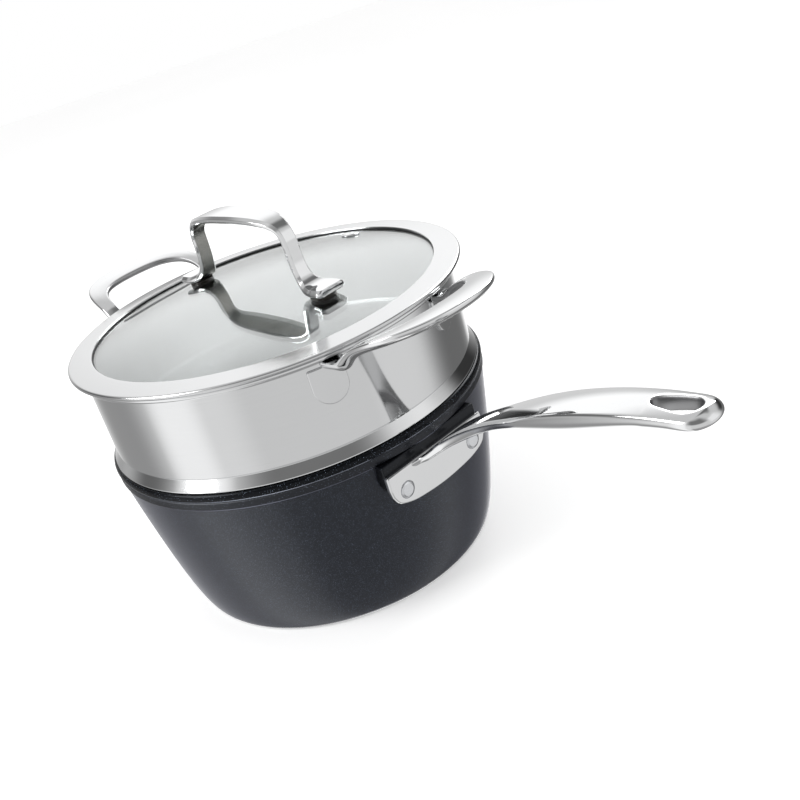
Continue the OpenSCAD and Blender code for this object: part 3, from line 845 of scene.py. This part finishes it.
def loop_section(o, i):
    o, i = np.array(o, float), np.array(i, float)
    length = np.linalg.norm(o - i)
    d = (o - i) / length

    def at(k, dz, crown=0.0):
        p = i + d * k
        s = ltop.slope(p[0])
        f = math.sqrt(1 + s * s)
        z = ltop(p[0]) + crown + dz * f
        return (p[0], p[1], z)

    th = 4.6
    return [at(0.0, -1.6), at(0.2, -0.5), at(0.85, -0.05), at(2.0, 0.0, 0.0), at(length / 2, 0, 0.15),
            at(length - 2.0, 0.0, 0.0), at(length - 0.85, -0.05), at(length - 0.2, -0.5), at(length, -1.6),
            at(length - 0.45, -2.75), at(length - 2.7, -4.35), at(length - 3.9, -th), at(length / 2, -th, 0.0),
            at(3.7, -th), at(2.4, -4.3), at(0.45, -2.75)]


lst = [loop_section(o, i) for o, i in pairs]
for name, sgn, node in (("loop_front", 1, "insert_handle_front"), ("loop_rear", -1, "insert_handle_rear")):
    ob = strands(name, [[(sgn * x, y, z) for x, y, z in s] for s in lst], [M["mirror"], M["bore"]], 3)
    # the hole walls and undersides of the loops take the darker satin steel: painted shade
    for poly in ob.data.polygons:
        c = poly.center / MM
        away = Vector((c.x - sgn * 116, c.y * 0.6, 0))
        inner = away.length < 26 and abs(poly.normal.z) < 0.7 and poly.normal.dot(away.normalized()) < -0.3
        if inner or poly.normal.z < -0.7:
            poly.material_index = 1
    put(ob, "insert", node)

# weld pads
pad_c = 131.5
half = 8.8
pad_outline = ([(half, 9.6 - 1.0), (half - 0.3, 9.6 - 0.3), (half - 1.0, 9.6), (-half + 1.0, 9.6),
                (-half + 0.3, 9.6 - 0.3), (-half, 9.6 - 1.0)]
               + arc(0, 0, half, half, 180, 360, 40))
for name, turn, node in (("pads_front", 0, "insert_handle_front_pads"), ("pads_rear", 180, "insert_handle_rear_pads")):
    for s in (-1, 1):
        a0 = math.radians(turn + s * 21.8)

        def on_wall(u, v, h, a0=a0):
            a = a0 + u / 100.0
            r = R_IN + GAP + h
            return (r * math.cos(a), r * math.sin(a), pad_c + v)

        ob = plate("%s_%s" % (name, "a" if s < 0 else "b"), densify(pad_outline, 1.6),
                   [(0, 0), (0, 0.72), (0.08, 0.95), (0.25, 1.12), (0.5, 1.2)], on_wall, [M["plate"]],
                   rings_to_centre=(0.85, 0.65, 0.4, 0.2))
        put(ob, "insert", node)

# ================================================================ lid
RIM = TOP + 0.3
LIP_IN = RIM + 3.1
DOME = RIM + 10.95
K = 0.00109
SHOW = 92.6
LID_R = 105.9
GLASS_R = 95.2
GT = 4.0


def dome(r):
    return DOME - K * r * r


put(lathe("lid_glass_dome",
          [(0, dome(0))] + [(r, dome(r)) for r in np.linspace(4, GLASS_R - 0.9, 40)]
          + [(GLASS_R, dome(GLASS_R), 0.6), (GLASS_R, dome(GLASS_R) - GT, 0.6)]
          + [(r, dome(r) - GT) for r in np.linspace(GLASS_R - 0.9, 4, 40)] + [(0, dome(0) - GT)],
          [M["glass"]]), "lid", "lid_glass")

put(lathe("lid_ring",
          [(SHOW, LIP_IN - 0.3, 0.15), (SHOW + 0.15, LIP_IN - 0.02, 0.25), (SHOW + 1.2, LIP_IN - 0.03), (99, LIP_IN - 0.38), (LID_R - 1.5, LIP_IN - 0.76)]
          + arc(LID_R - 1.22, RIM + 1.17, 1.2, 1.14, 82, -90, 14)
          + [(R_IN + 0.9, RIM, 0.3), (97.4, RIM - 1.2, 0.6), (97.4, RIM - 5.4, 0.3), (97, RIM - 5.8, 0.2), (96.6, RIM - 5.8, 0.2),
             (96.3, RIM - 5.4, 0.2), (96.3, RIM - 4.4, 0.1), (93.6, RIM - 4.4, 0.2), (93.6, RIM - 3.5, 0.2), (96.4, RIM - 3.5, 0.1),
             (96.4, LIP_IN - 1, 0.1), (SHOW, LIP_IN - 1, 0.2)],
          [M["rim"]], segs=384), "lid", "lid_rim_ring")

r0, r1 = SHOW - 0.5, GLASS_R + 0.04
put(lathe("lid_gasket",
          [(r0, dome(r0) + 0.04, 0.1), (r0 + 0.15, LIP_IN - 1.02, 0.15), (96.38, LIP_IN - 1.02), (96.38, RIM - 3.48), (94, RIM - 3.48, 0.3),
           (94, dome(94) - GT - 0.04, 0.1), (GLASS_R - 0.6, dome(GLASS_R) - GT - 0.04), (r1, dome(GLASS_R) - GT + 0.66),
           (r1, dome(GLASS_R) - 0.66), (GLASS_R - 0.6, dome(GLASS_R - 0.6) + 0.04)],
          [M["seal"]]), "lid", "lid_rim_seal")

az = math.radians(98.8)
tilt = math.atan(2 * K * 77.2)
m = (Matrix.Rotation(az, 4, "Z") @ Matrix.Translation((77.2, 0, dome(77.2))) @ Matrix.Rotation(tilt, 4, "Y"))
put(lathe("vent_eyelet", [
    (0.9, -GT - 0.88, 0.2), (5, -GT - 0.88, 0.25), (5, -GT - 0.2, 0.15), (1.92, -GT - 0.2), (1.92, 0.2), (5.2, 0.2, 0.1),
    (5.2, 0.6, 0.25), (4.6, 1.08, 0.4), (3.4, 1.2, 0.5), (2.2, 0.8, 0.4), (1.3, 0.5, 0.3), (0.9, 0.1, 0.3)],
    [M["mirror"]], segs=96, place=m), "lid", "steam_vent")

STRAP = 197.4
washer_top = STRAP - 36.7 - 3.6 - GAP * 3
for s in (-1, 1):
    def seated(x, y, z, s=s):
        if z < 150:
            return (x, y, dome(math.hypot(x + s * 55.0, y)) + GAP)
        return (x, y, z)

    v = lathe("washer_%s" % ("a" if s < 0 else "b"),
              [(2.6, 149, 0), (6.6, 149, 0), (6.6, washer_top, 0.3), (2.6, washer_top, 0.1)],
              [M["washer"]], segs=96, warp=seated, place=Matrix.Translation((s * 55.0, 0, 0)))
    put(v, "lid", "lid_handle_washers")

# strap handle
half_path = [(63.5, STRAP - 36.7), (57, STRAP - 36.7), (52.5, STRAP - 36.6), (48.3, STRAP - 35.2), (45.4, STRAP - 31.6),
             (43.9, STRAP - 26), (43.4, STRAP - 19.5), (42.8, STRAP - 12.8), (39.6, STRAP - 7.2), (33.4, STRAP - 3.5),
             (24, STRAP - 1.35), (12, STRAP - 0.27), (0, STRAP - 0.07)]
path = smooth(half_path + [(-x, z) for x, z in half_path[-2::-1]], 8)
wtab = Table([(0, 9.4), (14, 9.1), (26, 8), (34, 6.4), (40, 4.9), (44, 4.5), (47, 5.5), (51, 7.5), (55.5, 8.75),
              (59, 8.85), (64, 8.85)])
STRAP_T = 3.6


def strap_section(w, inset=0.0):
    """Half outline (half width, height below the face) mirrored to a whole one; the edges carry a broad bevel."""
    w -= inset
    e = min(1.0, w / 6)
    raw = [(w - 1.75 * e, -inset, 0.3), (w - 0.25, -1.25, 0.3), (w, -2.5, 0.4), (w - 1.1 * e, inset - STRAP_T, 0.4)]
    raw = raw + [(-y, h, r) for y, h, r in raw[::-1]]
    out = []
    for i, (y, h, r) in enumerate(raw):
        p, q = raw[i - 1][:2], raw[(i + 1) % len(raw)][:2]
        pts = corner(p, (y, h), q, r, 3)
        out += pts if len(pts) > 1 else [pts[0]] * 4
    face = [(-(w - 1.75 * e) * 0.5, -inset), (0, -inset + 0.06), ((w - 1.75 * e) * 0.5, -inset)]
    return out + face


def foot_w(x, end=63.5, rad=2.7):
    """Half width of the strap, with the corners of its feet rounded."""
    w = wtab(abs(x))
    over = abs(x) - (end - rad)
    return w - (rad - math.sqrt(max(0.0, rad * rad - over * over))) * 0.92 if over > 0 else w


ends = [63.5, 63.44, 63.3, 63.1, 62.8, 62.4, 61.9, 61.3, 60.6, 59.5, 58.2]
rows = [(x, STRAP - 36.7, 0.0, 1.0, 0.4 if k == 0 else 0.14 if k == 1 else 0.0) for k, x in enumerate(ends)]
mid = []
for k, (x, z) in enumerate(path):
    if abs(x) > 57.01:
        continue
    a, b = path[max(0, k - 1)], path[min(len(path) - 1, k + 1)]
    d = np.array([b[0] - a[0], b[1] - a[1]])
    d = d / np.linalg.norm(d)
    mid.append((x, z, d[1], -d[0], 0.0))         # the path runs from +x to -x, so this points outwards
rows = rows + mid + [(-x, z, nx, nz, t) for x, z, nx, nz, t in rows[::-1]]
sections = [[(x + nx * h, y, z + nz * h) for y, h in strap_section(foot_w(x), t)] for x, z, nx, nz, t in rows]
v, f, mcount = sweep("strap", sections, None)
for first in (0, (len(sections) - 1) * mcount):
    ring = list(range(first, first + mcount))
    v.append(tuple(np.mean(np.array([v[i] for i in ring]), axis=0)))
    for i, j in zip(ring, ring[1:] + ring[:1]):
        f.append((i, j, len(v) - 1) if first else (j, i, len(v) - 1))
vv = np.array(v)
volume = sum(np.dot(vv[q[0]], np.cross(vv[q[1]], vv[q[2]])) + (np.dot(vv[q[0]], np.cross(vv[q[2]], vv[q[3]]))
                                                                  if len(q) == 4 else 0) for q in f)
if volume < 0:
    f = [q[::-1] for q in f]
strap = new_object("strap_handle", vv * MM, f, [M["mirror"], M["under"]], None, area_normals(v, f))
body_faces = (len(sections) - 1) * mcount
# faces 14 to 16 of each section, the underside, take the darker steel: painted shade under the strap
strap.data.polygons.foreach_set("material_index", [1 if i < body_faces and i % mcount in (14, 15, 16) else 0
                                                   for i in range(len(f))])
put(strap, "lid", "lid_handle")

# CAD nodes that stay, with their finish
for node, mat, slot in (("lid_handle_under_washers", M["washer_grey"], "dark_washer"),
                        ("lid_handle_screws", M["rivet"], "rivet_steel")):
    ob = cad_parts[node]
    ob.data.materials.clear()
    ob.data.materials.append(mat)

# ================================================================ stage
scene = bpy.context.scene
scene.view_settings.view_transform = "Standard"
scene.view_settings.look = "None"

fl = Mat("floor_white", Roughness=0.9, Emission_Strength=0.42)
fl.b.inputs["Emission Color"].default_value = (1, 1, 1, 1)
o, x, y, z = fl.coords()
fl.link(fl.ramp(fl.noise(o, 3, 2), [(0.3, (0.90, 0.90, 0.90)), (0.7, (0.92, 0.92, 0.92))]), fl.b.inputs["Base Color"])
n = 96
fverts = [(0, 0, -0.0004)] + [(4.0 * math.cos(2 * math.pi * i / n), 4.0 * math.sin(2 * math.pi * i / n), -0.0004)
                              for i in range(n)]
floor = new_object("floor", fverts, [(0, 1 + i, 1 + (i + 1) % n) for i in range(n)], [fl.m])
floor.visible_glossy = False

# studio: bright and dark panels, painted by direction
world = bpy.data.worlds.new("studio")
scene.world = world
world.use_nodes = True
wt = world.node_tree
wt.nodes.clear()
W = Mat.__new__(Mat)
W.t = wt
tc = wt.nodes.new("ShaderNodeTexCoord")
sep = wt.nodes.new("ShaderNodeSeparateXYZ")
W.link(tc.outputs["Generated"], sep.inputs[0])
dx, dy, dz = sep.outputs[0], sep.outputs[1], sep.outputs[2]
level = W.math("MAXIMUM", W.math("SQRT", W.math("ADD", W.math("MULTIPLY", dx, dx), W.math("MULTIPLY", dy, dy))), 1e-4)
hx, hy = W.math("DIVIDE", dx, level), W.math("DIVIDE", dy, level)


def step(fac, a, b):
    n = wt.nodes.new("ShaderNodeMapRange")
    n.interpolation_type = "SMOOTHSTEP"
    n.clamp = True
    n.inputs[1].default_value, n.inputs[2].default_value = a, b
    n.inputs[3].default_value, n.inputs[4].default_value = 0.0, 1.0
    W.link(fac, n.inputs[0])
    return n.outputs[0]


def panel(light, value, azimuth, half, soft, z0, z1, soft_z):
    """Lays a soft-edged panel over the studio: azimuth and its half width in degrees, z0 to z1 the sine of elevation."""
    c = math.radians(azimuth)
    mask = None
    if half < 180:
        cosine = W.math("ADD", W.math("MULTIPLY", hx, math.cos(c)), W.math("MULTIPLY", hy, math.sin(c)))
        mask = step(cosine, math.cos(math.radians(min(180, half + soft))), math.cos(math.radians(max(0, half - soft))))
    for edge in (z0, z1):
        if -1 < edge < 1:
            e = step(dz, edge - soft_z, edge + soft_z) if edge == z0 else step(dz, edge + soft_z, edge - soft_z)
            mask = e if mask is None else W.math("MULTIPLY", mask, e)
    n = wt.nodes.new("ShaderNodeMix")
    n.data_type = "FLOAT"
    W.link(mask, n.inputs[0])
    if isinstance(light, float):
        n.inputs[2].default_value = light
    else:
        W.link(light, n.inputs[2])
    n.inputs[3].default_value = value
    return n.outputs[0]


light = panel(0.72, 0.66, 0, 180, 0, 0.5, 1, 0.2)                 # ceiling
light = panel(light, 0.20, -35, 42, 18, 0.45, 0.93, 0.10)         # dark ceiling above the camera
light = panel(light, 0.18, 82, 26, 14, 0.72, 0.97, 0.06)          # dark ceiling to the right
light = panel(light, 0.34, -156, 20, 16, -1, 0.05, 0.2)           # dark side of the room
light = panel(light, 0.15, -152, 22, 14, 0.10, 0.6, 0.12)         # its upper part
light = panel(light, 0.36, -30, 70, 25, -1, -0.62, 0.10)          # table right under the camera
light = panel(light, 0.80, 33, 14, 10, -0.62, -0.1, 0.1)          # and below it
light = panel(light, 0.17, 91, 23, 16, -1, 0.42, 0.16)            # black flag on the right
light = panel(light, 0.04, 88, 18, 12, 0.02, 0.34, 0.10)          # its darkest part
light = panel(light, 0.98, 33, 14, 10, -0.05, 0.6, 0.1)           # reflector beside the flag
light = panel(light, 0.86, -88, 16, 14, -1, 0.3, 0.2)             # its spill
light = panel(light, 1.12, -106, 11, 10, -1, 0.80, 0.1)           # strip light on the left
light = panel(light, 1.15, 141, 17, 10, -1, -0.3, 0.1)            # white sweep behind, below
light = panel(light, 1.24, 140, 22, 12, 0.12, 0.66, 0.14)         # large softbox behind
mixed = light
white = wt.nodes.new("ShaderNodeRGB")
white.outputs[0].default_value = (1, 1, 1, 1)
lp = wt.nodes.new("ShaderNodeLightPath")
bg = wt.nodes.new("ShaderNodeBackground")
sky = wt.nodes.new("ShaderNodeMix")
sky.data_type = "RGBA"
W.link(lp.outputs["Is Camera Ray"], sky.inputs[0])
W.link(mixed, sky.inputs[6])
W.link(white.outputs[0], sky.inputs[7])
W.link(sky.outputs[2], bg.inputs[0])
bg.inputs[1].default_value = 1.0
out = wt.nodes.new("ShaderNodeOutputWorld")
W.link(bg.outputs[0], out.inputs[0])


def softbox(name, place, target, sx, sy, power, colour=(1, 1, 1)):
    la = bpy.data.lights.new(name, "AREA")
    la.shape = "RECTANGLE"
    la.size, la.size_y = sx, sy
    la.energy = power
    la.color = colour
    ob = bpy.data.objects.new(name, la)
    scene.collection.objects.link(ob)
    ob.location = place
    ob.rotation_mode = "QUATERNION"
    ob.rotation_quaternion = (Vector(target) - Vector(place)).to_track_quat("-Z", "Y")
    return ob


softbox("key", (-0.55, -1.25, 1.25), (0, 0, 0.09), 0.9, 0.9, 14)
softbox("back", (-0.3, 1.3, 0.9), (0, 0, 0.1), 1.0, 0.7, 9)

# camera at the photograph's viewing angle
cam = bpy.data.cameras.new("camera")
cam.sensor_width = 36.0
cam.lens = 44.69566
cam.shift_x = 0.06
cam.shift_y = 0.00525
cam.clip_start, cam.clip_end = 0.02, 60.0
camera = bpy.data.objects.new("camera", cam)
scene.collection.objects.link(camera)
right = Vector((0.6399536, 0.7142513, -0.2833804))
down = Vector((0.1524434, -0.4794659, -0.8642184))
ahead = Vector((-0.7531404, 0.5098602, -0.4157188))
camera.matrix_world = Matrix((
    (right.x, -down.x, -ahead.x, 0.4293818),
    (right.y, -down.y, -ahead.y, -0.2575614),
    (right.z, -down.z, -ahead.z, 0.3035206),
    (0, 0, 0, 1)))
scene.camera = camera
